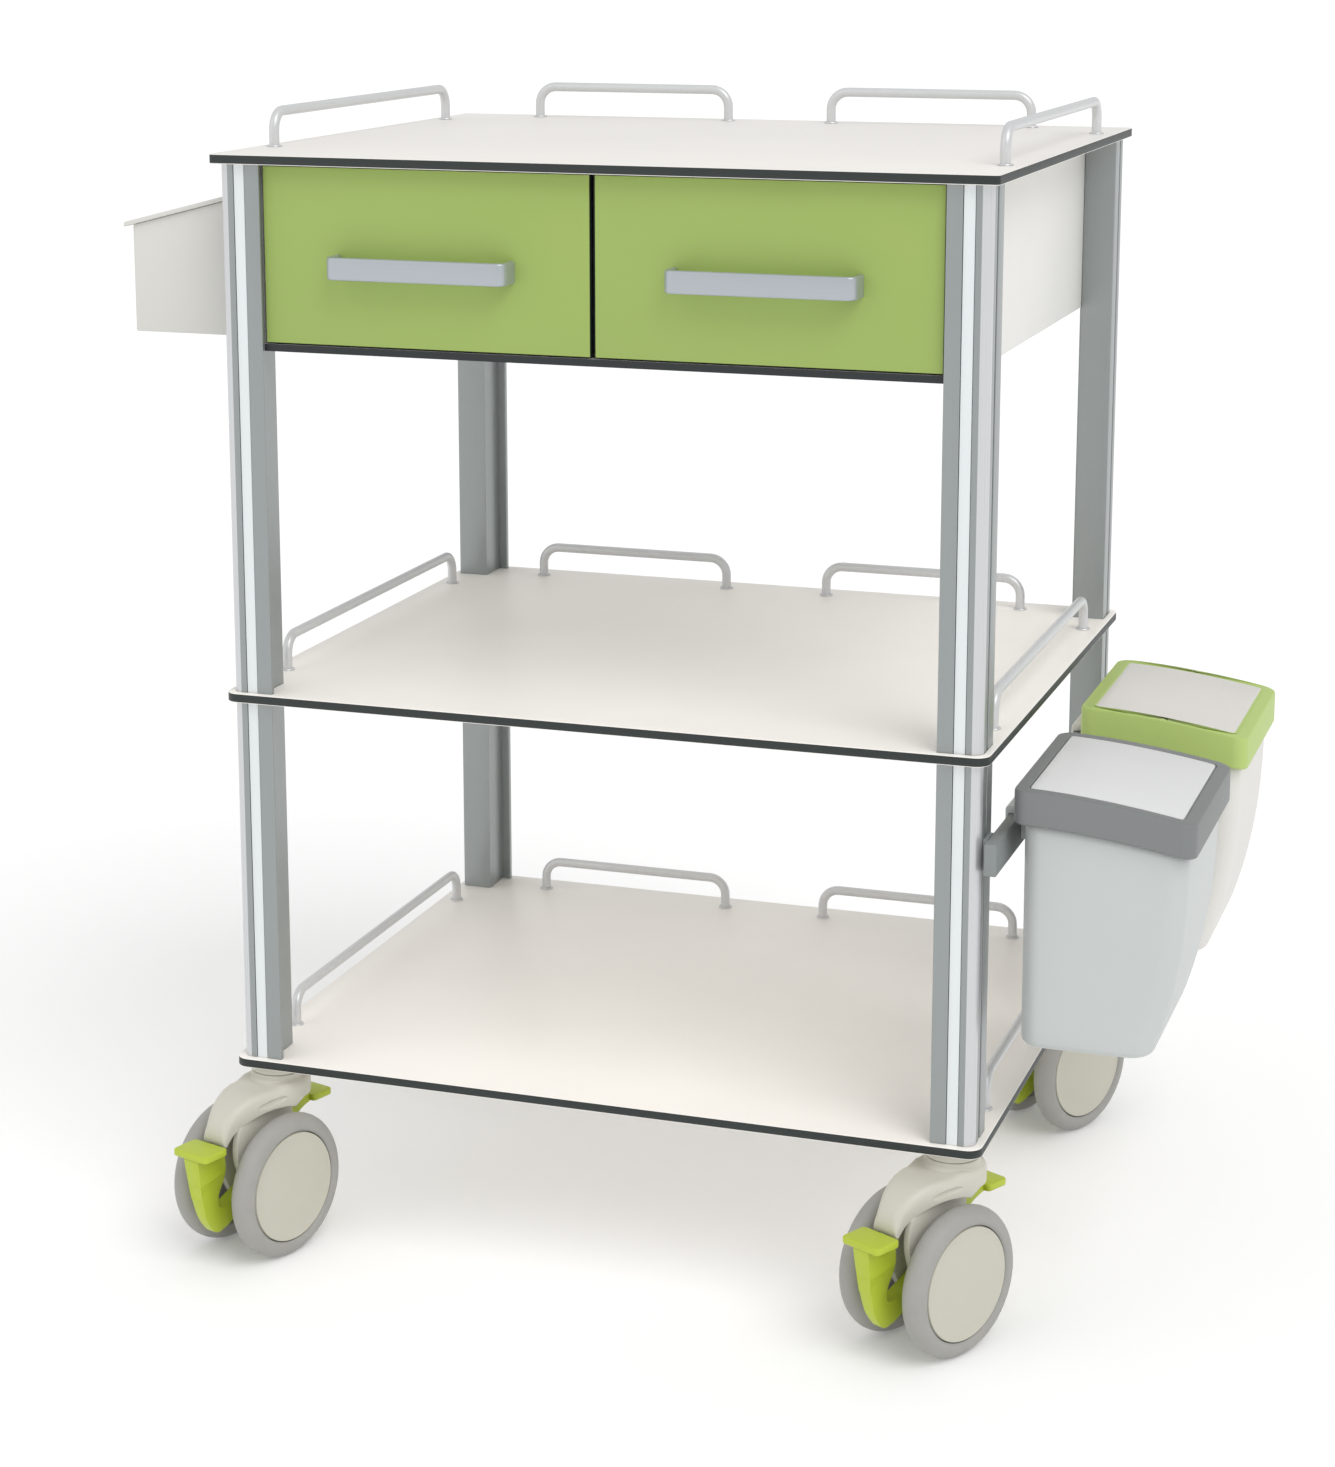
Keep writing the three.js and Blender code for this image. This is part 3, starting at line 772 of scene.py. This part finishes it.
def arched(bm, near, far, drop):  # bends level sheets down towards the outer side
    for vert in bm.verts:
        share = max(0, min(1, (vert.co.x - near) / (far - near)))
        vert.co.z -= drop * share ** bins["arch"]


def addRim(name, look):
    node = f"bin_rim_{name}"
    low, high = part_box(node)
    size = high - low
    top = high.z
    under = top - bins["rimHigh"]
    wall, lap = bins["rimWall"], bins["lap"]
    ledge = top - bins["lidThick"] - bins["lidPlay"]
    stations = [
        (0.0012, under, 0.011),
        (0, under + 0.0012, 0.012),
        (0, top - 0.002, 0.012),
        (0.0006, top - 0.0006, 0.0115),
        (0.002, top, 0.011),
        (wall - lap - 0.0006, top, 0.005),
        (wall - lap, top - 0.0006, 0.0045),
        (wall - lap, ledge, 0.0045),
        (wall, ledge, 0.003),
        (wall, under, 0.003),
    ]
    middle = (low + high) / 2
    bm = bmesh.new()
    loops = []
    for inset, height, radius in stations:
        centre = (middle.x, middle.y, height)
        wide, deep = size.x - 2 * inset, size.y - 2 * inset
        loops.append(ringOf(bm, centre, (1, 0, 0), (0, 1, 0), (wide, deep), radius, 6, bins["slices"]))
    skinLoops(bm, loops, capped=False, closed=True)
    arched(bm, low.x, high.x, bins["drop"])
    makePiece(f"{node}_collar", bm, look, "root", [node])
    return low, high


def addLid(name, look, rimLow, rimHigh):
    node = f"bin_lid_{name}"
    low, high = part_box(node)
    z = rimHigh.z
    bm = startBox((low.x, low.y, z - bins["lidThick"]), (high.x, high.y, z))
    bmesh.ops.subdivide_edges(bm, edges=edgesAlong(bm, 0), cuts=bins["slices"], use_grid_fill=True)
    folds = set(foldEdges(bm))
    bevel(bm, [edge for edge in edgesAlong(bm, 2) if edge in folds], bins["lidCorner"], 4)
    upper = [e for e in foldEdges(bm, 60) if min(v.co.z for v in e.verts) > z - 0.001]
    bevel(bm, upper, bins["lidEdge"], 2)
    arched(bm, rimLow.x, rimHigh.x, bins["drop"])
    makePiece(f"{node}_flap", bm, look, node, [node])


def addBucket(name, look, rimLow, rimHigh):
    node = f"bin_bucket_{name}"
    low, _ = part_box(node)
    inset = bins["bucketInset"]
    near, far = rimLow.x + inset, rimHigh.x - inset
    front, back = rimLow.y + inset, rimHigh.y - inset
    top = rimHigh.z - bins["rimHigh"] - 0.0003
    tall = top - low.z

    def station(height, shrink, radius):
        share = height / tall
        outer = far - bins["belly"] * (1 - share) ** bins["bellyPower"] - shrink
        taper = bins["taper"] * (1 - share) + shrink
        centre = ((near + shrink + outer) / 2, (front + back) / 2, low.z + height)
        size = (outer - near - shrink, back - front - 2 * taper)
        return ringOf(bm, centre, (1, 0, 0), (0, 1, 0), size, radius, 8, bins["slices"])

    bm = bmesh.new()
    corner = bins["bucketCorner"]
    foot, count = bins["foot"], bins["courses"]
    heights = [foot * (1 - math.cos(k * math.pi / 8)) for k in range(5)]
    shrinks = [foot * (1 - math.sin(k * math.pi / 8)) for k in range(5)]
    loops = [station(h, s, corner - s * 0.5) for h, s in zip(heights, shrinks)]
    loops += [station(foot + (tall - foot) * k / count, 0, corner) for k in range(1, count + 1)]
    for first, second in zip(loops, loops[1:]):
        bmesh.ops.bridge_loops(bm, edges=first + second)
    bmesh.ops.contextual_create(bm, geom=loops[0])
    bmesh.ops.recalc_face_normals(bm, faces=bm.faces)
    for vert in bm.verts:  # the mouth follows the rim
        share = max(0, (vert.co.x - near) / (far - near))
        rise = max(0, (vert.co.z - low.z) / tall)
        vert.co.z -= bins["drop"] * share ** bins["arch"] * rise ** 4
    piece = makePiece(f"{node}_shell", bm, look, "root", [node])
    modifier = piece.modifiers.new("wall", "SOLIDIFY")
    modifier.thickness = bins["wall"]
    modifier.offset = -1
    addHook(name, look, low, near, front, back, top)


def addHook(name, look, low, near, front, back, top):
    _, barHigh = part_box("bin_rail")
    faceX = barHigh.x  # outer face of the bar
    middle, half = (front + back) / 2, hook["half"]
    plate, play = hook["plate"], hook["play"]
    foot = barHigh.z - hook["below"]
    outline = [
        (near - play, foot, 0.001),
        (near - play, top - 0.004, 0.002),
        (low.x, top - 0.004, 0.003),
        (low.x, foot, 0.001),
        (low.x + plate, foot, 0.001),
        (low.x + plate, barHigh.z + play, 0.0008),
        (faceX + play, barHigh.z + play, 0.0008),
        (faceX + play, foot, 0.001),
    ]
    bm = extrudeOutline(outline, middle - half, middle + half, frontOn, 0.0006, 3)
    makePiece(f"bin_hook_{name}", bm, look, "root")


def addBinBar():
    low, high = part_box("bin_rail")
    inner = high.x - bar["thick"]
    bm = startBox((inner, low.y, low.z), high)
    bevel(bm, foldEdges(bm), bar["edge"], 3)
    makePiece("bin_bar", bm, barGrey, "root", ["bin_rail"])
    for corner in ("front_right", "rear_right"):
        _, sideY, faceX, faceY = postFaces(corner)
        middle, half = faceY - sideY * post["deep"] / 2, bar["pad"] / 2
        padLow = (faceX + bar["padPlay"], middle - half, low.z)
        bm = startBox(padLow, (inner - 0.0001, middle + half, high.z))
        bevel(bm, edgesAlong(bm, 0), bar["edge"], 2)
        makePiece(f"bin_bar_pad_{corner}", bm, barGrey, "root")


def addBins():
    addBinBar()
    for name, rimLook, bucketLook, lidLook in (
        ("grey", rimGrey, bucketGrey, lidGrey),
        ("green", rimGreen, bucketWarm, lidWarm),
    ):
        low, high = addRim(name, rimLook)
        addLid(name, lidLook, low, high)
        addBucket(name, bucketLook, low, high)


# Casters, drawn with the swivel axis on Z, rolling towards -Y, then put in place
caster = {
    "wheelRadius": 0.0625,
    "wheelHalf": 0.011,
    "hub": 0.0475,
    "trail": 0.03,
    "offset": 0.0335,
    "fender": 0.0658,
    "neck": 0.0228,
    "neckLow": 0.1315,
    "neckTop": 0.1522,
    "hoodHalf": 0.028,
    "hoodLow": 0.1305,
    "hoodTop": 0.1468,
    "hoodEdge": 0.0012,
    "hoodReach": 0.075,
    "hoodNarrowing": 1.6,
    "nose": 0.0125,
    "recess": (0.0035, 0.0165, 0.0036),
    "recessAt": (0.0244, -0.033, 0.1345),
    "recessTurn": 11,
    "recessTilt": 5,
    "cheekNear": 0.0094,
    "cheekFar": 0.0154,
    "pin": 0.005,
}


def unitOf(corner):
    swivel = joints[f"caster_{corner}_swivel"]
    spin = joints[f"caster_wheel_{corner}_left_spin"]
    across = Vector(spin["axis"])
    back = Vector((0, 0, 1)).cross(across)
    x, y, _ = swivel["pos_m"]
    rows = [[across[i], back[i], (0, 0, 1)[i], (x, y, 0)[i]] for i in range(3)]
    return Matrix(rows + [[0, 0, 0, 1]])


def wheelPlace(unit, sign):
    across = Matrix.Rotation(math.pi / 2, 4, "Y") if sign > 0 else Matrix.Rotation(-math.pi / 2, 4, "Y")
    centre = Matrix.Translation((sign * caster["offset"], -caster["trail"], caster["wheelRadius"]))
    return unit @ centre @ across


def addWheel(corner, side, sign, unit):
    node = f"caster_wheel_{corner}_{side}"
    place = wheelPlace(unit, sign)  # the hub cover faces +Z of the drawn wheel
    half, radius, hub = caster["wheelHalf"], caster["wheelRadius"], caster["hub"]
    middle = radius - half
    tread = [
        (middle + half * math.cos(angle), half * math.sin(angle))
        for angle in [math.radians(-90 + 12 * k) for k in range(16)]
    ]
    tyre = [(hub + 0.0008, -half + 0.0022), (hub + 0.0022, -half + 0.0006)]
    tyre += tread + [(hub + 0.0022, half - 0.0006), (hub + 0.0008, half - 0.0022), tyre[0]]
    bm = moved(turned(tyre, 72), place)
    makePiece(f"tyre_{corner}_{side}", bm, tyreGrey, node, [node], 40)
    cover = [
        (0, -half + 0.009),
        (0.007, -half + 0.009),
        (0.008, -half + 0.003),
        (0.014, -half + 0.003),
        (0.016, -half + 0.007),
        (hub - 0.006, -half + 0.007),
        (hub - 0.004, -half + 0.0015),
        (hub, -half + 0.0015),
        (hub, half - 0.0024),
        (hub - 0.0006, half - 0.0014),
        (hub - 0.0016, half - 0.0012),
        (hub - 0.0026, half - 0.0016),
        (0.036, half - 0.0007),
        (0.02, half - 0.0001),
        (0, half + 0.0001),
    ]
    bm = turned(cover, 72)
    for face in bm.faces:
        inner = face.calc_center_median().z < -half + 0.0072 and face.normal.z < 0.5
        face.material_index = 1 if inner else 0
    makePiece(f"hub_{corner}_{side}", moved(bm, place), [hubCream, hollowGrey], node, (), 40)


def recessForm(sign):  # the long finger-shaped hollow in the side of a hood
    bm = bmesh.new()
    bmesh.ops.create_uvsphere(bm, u_segments=32, v_segments=20, radius=1)
    bmesh.ops.scale(bm, vec=caster["recess"], verts=bm.verts)
    turn = Matrix.Rotation(math.radians(-caster["recessTurn"] * sign), 3, "Z")
    tilt = Matrix.Rotation(math.radians(caster["recessTilt"]), 3, "X")
    bmesh.ops.rotate(bm, cent=(0, 0, 0), matrix=turn @ tilt, verts=bm.verts)
    x, y, z = caster["recessAt"]
    bmesh.ops.translate(bm, vec=(sign * x, y, z), verts=bm.verts)
    return bm


def hoodWidth(ahead):  # narrows from the neck to the nose
    half, nose = caster["hoodHalf"], caster["nose"]
    share = min(1, ahead / caster["hoodReach"])
    return 2 * (half - (half - nose) * share ** caster["hoodNarrowing"])


def addHood(corner, unit, body):
    node = f"caster_housing_{corner}"
    trail, axle, fender = caster["trail"], caster["wheelRadius"], caster["fender"]
    half, edge = caster["hoodHalf"], caster["hoodEdge"]
    top, hoodLow = caster["hoodTop"], caster["hoodLow"]
    bm = bmesh.new()
    loops = []
    for degrees in (-84, -66, -48, -32, -18, -6):  # round back, under the neck
        ahead = half * math.sin(math.radians(degrees))
        width = 2 * half * math.cos(math.radians(degrees))
        centre = (0, -ahead, (top + hoodLow) / 2)
        size = (width, top - hoodLow)
        loops.append(ringOf(bm, centre, (1, 0, 0), (0, 0, 1), size, 0.005, 5, 0, edge))
    for ahead in (0.008, 0.018):
        low = axle + math.sqrt(fender**2 - (ahead - trail) ** 2)
        centre = (0, -ahead, (top + low) / 2)
        size = (hoodWidth(ahead), top - low)
        loops.append(ringOf(bm, centre, (1, 0, 0), (0, 0, 1), size, 0.006, 5, 0, edge))
    for degrees, outer in (
        (90, 0.0822),
        (83, 0.0836),
        (76, 0.0846),
        (69, 0.0846),
        (62, 0.0836),
        (56, 0.0817),
        (51, 0.0790),
        (47, 0.0760),
        (44, 0.0728),
        (42, 0.0700),
    ):
        angle = math.radians(degrees)
        out = Vector((0, -math.cos(angle), math.sin(angle)))
        centre = Vector((0, -trail, axle)) + out * (fender + outer) / 2
        width = hoodWidth(trail + caster["hoodReach"] * math.cos(angle))
        loops.append(ringOf(bm, centre, (1, 0, 0), out, (width, outer - fender), 0.0065, 5, 0, edge))
    skinLoops(bm, loops)
    moved(bm, unit)
    hood = makePiece(f"hood_{corner}", bm, casterCream, body, [node], 50)
    for sign in sides.values():
        cutBy(hood, moved(recessForm(sign), unit))

    neck, neckLow, neckTop = caster["neck"], caster["neckLow"], caster["neckTop"]
    ring = [
        (0, neckLow),
        (neck + 0.003, neckLow),
        (neck + 0.003, top - 0.001),
        (neck + 0.0008, top + 0.0003),
        (neck, top + 0.0014),
        (neck, neckTop - 0.0006),
        (neck - 0.0006, neckTop),
        (0.0104, neckTop),
        (0.0104, neckTop - 0.004),
        (0, neckTop - 0.004),
    ]
    makePiece(f"neck_{corner}", moved(turned(ring, 64), unit), casterCream, body)

    cheek = [
        (-0.031, 0.067, 0.006),
        (0.035, 0.059, 0.004),
        (0.041, 0.039, 0.01),
        (0.036, 0.017, 0.01),
        (0.021, -0.013, 0.008),
        (0.009, -0.019, 0.006),
        (-0.009, -0.019, 0.006),
        (-0.019, -0.008, 0.008),
        (-0.029, 0.034, 0.02),
    ]
    outline = [(-trail - ahead, axle + up, radius) for ahead, up, radius in cheek]
    for side, sign in sides.items():
        near, far = sorted((sign * caster["cheekNear"], sign * caster["cheekFar"]))
        bm = extrudeOutline(outline, near, far, sideOn, 0.001, 4)
        makePiece(f"fork_{corner}_{side}", moved(bm, unit), casterCream, body)
    place = unit @ Matrix.Translation((0, -trail, axle)) @ Matrix.Rotation(math.pi / 2, 4, "Y")
    reach = caster["offset"] - caster["wheelHalf"] + 0.002
    pin = [(0, -reach), (caster["pin"], -reach), (caster["pin"], reach), (0, reach)]
    makePiece(f"axle_{corner}", moved(turned(pin, 32), place), pinSteel, body)


pedal = {
    "half": 0.008,
    "edge": 0.0012,
    "narrowFrom": (0.03, 0.034),  # ahead of the axle, and above it
    "narrowOver": (0.02, 0.066),
    "narrowing": 0.45,
    "plate": 0.0195,
    "rearPlate": 0.014,
    "thick": 0.006,
    "corner": 0.004,
}


def addPedal(corner, unit):
    node = f"caster_pedal_{corner}"
    trail, axle = caster["trail"], caster["wheelRadius"]
    web = [
        (0.050, 0.0415, 0),
        (0.080, 0.0415, 0.002),
        (0.0775, 0.022, 0.02),
        (0.073, -0.004, 0.02),
        (0.066, -0.022, 0.008),
        (0.056, -0.033, 0.004),
        (0.046, -0.031, 0.006),
        (0.034, -0.022, 0.008),
        (0.015, -0.014, 0.008),
        (0.000, -0.013, 0.006),
        (-0.013, -0.005, 0.012),
        (-0.024, 0.021, 0.016),
        (-0.042, 0.045, 0.012),
        (-0.062, 0.051, 0),
        (-0.062, 0.057, 0),
        (-0.036, 0.055, 0.012),
        (-0.012, 0.030, 0.016),
        (0.004, 0.010, 0.01),
        (0.018, -0.002, 0.01),
        (0.038, -0.009, 0.006),
        (0.053, -0.012, 0.005),
        (0.056, 0.001, 0.008),
        (0.047, 0.015, 0.008),
        (0.0455, 0.030, 0.008),
    ]
    outline = [(-trail - ahead, axle + up, radius) for ahead, up, radius in web]
    bm = extrudeOutline(outline, -pedal["half"], pedal["half"], sideOn, pedal["edge"], 5)
    bmesh.ops.triangulate(bm, faces=bm.faces)
    fromAhead, fromUp = pedal["narrowFrom"]
    overAhead, overDown = pedal["narrowOver"]
    for vert in bm.verts:  # the front arm gets narrower downwards
        forward = max(0, min(1, (-trail - vert.co.y - fromAhead) / overAhead))
        lower = max(0, min(1, (axle + fromUp - vert.co.z) / overDown))
        vert.co.x *= 1 - pedal["narrowing"] * forward * lower
    makePiece(f"pedal_web_{corner}", moved(bm, unit), pedalLime, node, [node], 40)
    for kind, half, near, far, up in (
        ("front", pedal["plate"], 0.0545, 0.082, 0.0415),
        ("rear", pedal["rearPlate"], -0.084, -0.060, 0.051),
    ):
        low = (-half, -trail - far, axle + up)
        high = (half, -trail - near, axle + up + pedal["thick"])
        bm = startBox(low, high)
        bevel(bm, edgesAlong(bm, 2), pedal["corner"], 4)
        bevel(bm, foldEdges(bm, 60), pedal["edge"], 3)
        makePiece(f"pedal_plate_{corner}_{kind}", moved(bm, unit), pedalLime, node)


def addMount(corner, unit):
    node = f"caster_mount_{corner}"
    low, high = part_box(node)
    edge = caster["neck"]
    disc = [
        (0, high.z),
        (edge + 0.0012, high.z),
        (edge + 0.0012, high.z - 0.0016),
        (edge, high.z - 0.0022),
        (edge, high.z - 0.0064),
        (edge - 0.0006, high.z - 0.007),
        (0.0096, high.z - 0.007),
        (0.0096, low.z + 0.0005),
        (0, low.z),
    ]
    bm = moved(turned(disc, 48), unit)
    makePiece(f"mount_{corner}", bm, casterCream, "root", [node])


def addCasters():
    for corner in corners:
        unit = unitOf(corner)
        addMount(corner, unit)
        addHood(corner, unit, f"caster_{corner}")
        addPedal(corner, unit)
        for side, sign in sides.items():
            addWheel(corner, side, sign, unit)


# Studio
studio = {
    "camera": (0.8285, -2.5458, 1.1332),  # from the middle of the top board, over the floor
    "yaw": 18.574,
    "pitch": 11.455,
    "lens": 75.69,
    "shift": -0.1319,
    "floor": 300.0,
    "glow": 0.12,
    "world": 0.74,
}


def addStudio():
    low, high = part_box("top_board")
    middle = (low + high) / 2
    camera = bpy.data.objects.new("camera", bpy.data.cameras.new("camera"))
    x, y, z = studio["camera"]
    camera.location = (middle.x + x, middle.y + y, z)
    camera.rotation_euler = (math.radians(90 - studio["pitch"]), 0, math.radians(studio["yaw"]))
    camera.data.lens = studio["lens"]
    camera.data.sensor_width = 36
    camera.data.shift_y = studio["shift"]
    camera.data.clip_end = 100
    bpy.context.scene.collection.objects.link(camera)
    bpy.context.scene.camera = camera

    bm = bmesh.new()
    bmesh.ops.create_grid(bm, x_segments=2, y_segments=2, size=studio["floor"])
    mesh = bpy.data.meshes.new("floor")
    bm.to_mesh(mesh)
    bm.free()
    floorLook = Look("floor", Roughness=0.9, Specular_IOR_Level=0.1, Emission_Strength=studio["glow"])
    floorLook.feed(
        Base_Color=floorLook.mix(floorLook.noise(0.4, 2), tone("f4f4f4"), tone("f7f7f7")),
        Emission_Color=tone("ffffff"),
    )
    mesh.materials.append(floorLook.material)
    floor = bpy.data.objects.new("floor", mesh)
    bpy.context.scene.collection.objects.link(floor)

    world = bpy.data.worlds.new("studio")
    bpy.context.scene.world = world
    world.use_nodes = True
    back = world.node_tree.nodes["Background"]
    back.inputs["Color"].default_value = (1, 1, 1, 1)
    back.inputs["Strength"].default_value = studio["world"]
    for name, place, spread, power in (
        ("key", (1.1, -0.9, 1.6), 38, 1.05),
        ("fill", (-1.4, -1.2, 0.8), 60, 0.3),
    ):
        light = bpy.data.lights.new(name, "SUN")
        light.energy = power
        light.angle = math.radians(spread)
        lamp = bpy.data.objects.new(name, light)
        lamp.location = place
        lamp.rotation_euler = Vector(place).to_track_quat("Z", "Y").to_euler()
        bpy.context.scene.collection.objects.link(lamp)
    bpy.context.scene.view_settings.view_transform = "Standard"


print("studio")
addStudio()
print("posts and boards")
addPosts()
addBoards()
print("rails")
addRails()
print("housing and drawers")
addHousing()
addDrawers()
print("side box")
addSideBox()
print("bins")
addBins()
print("casters")
addCasters()

print("done")
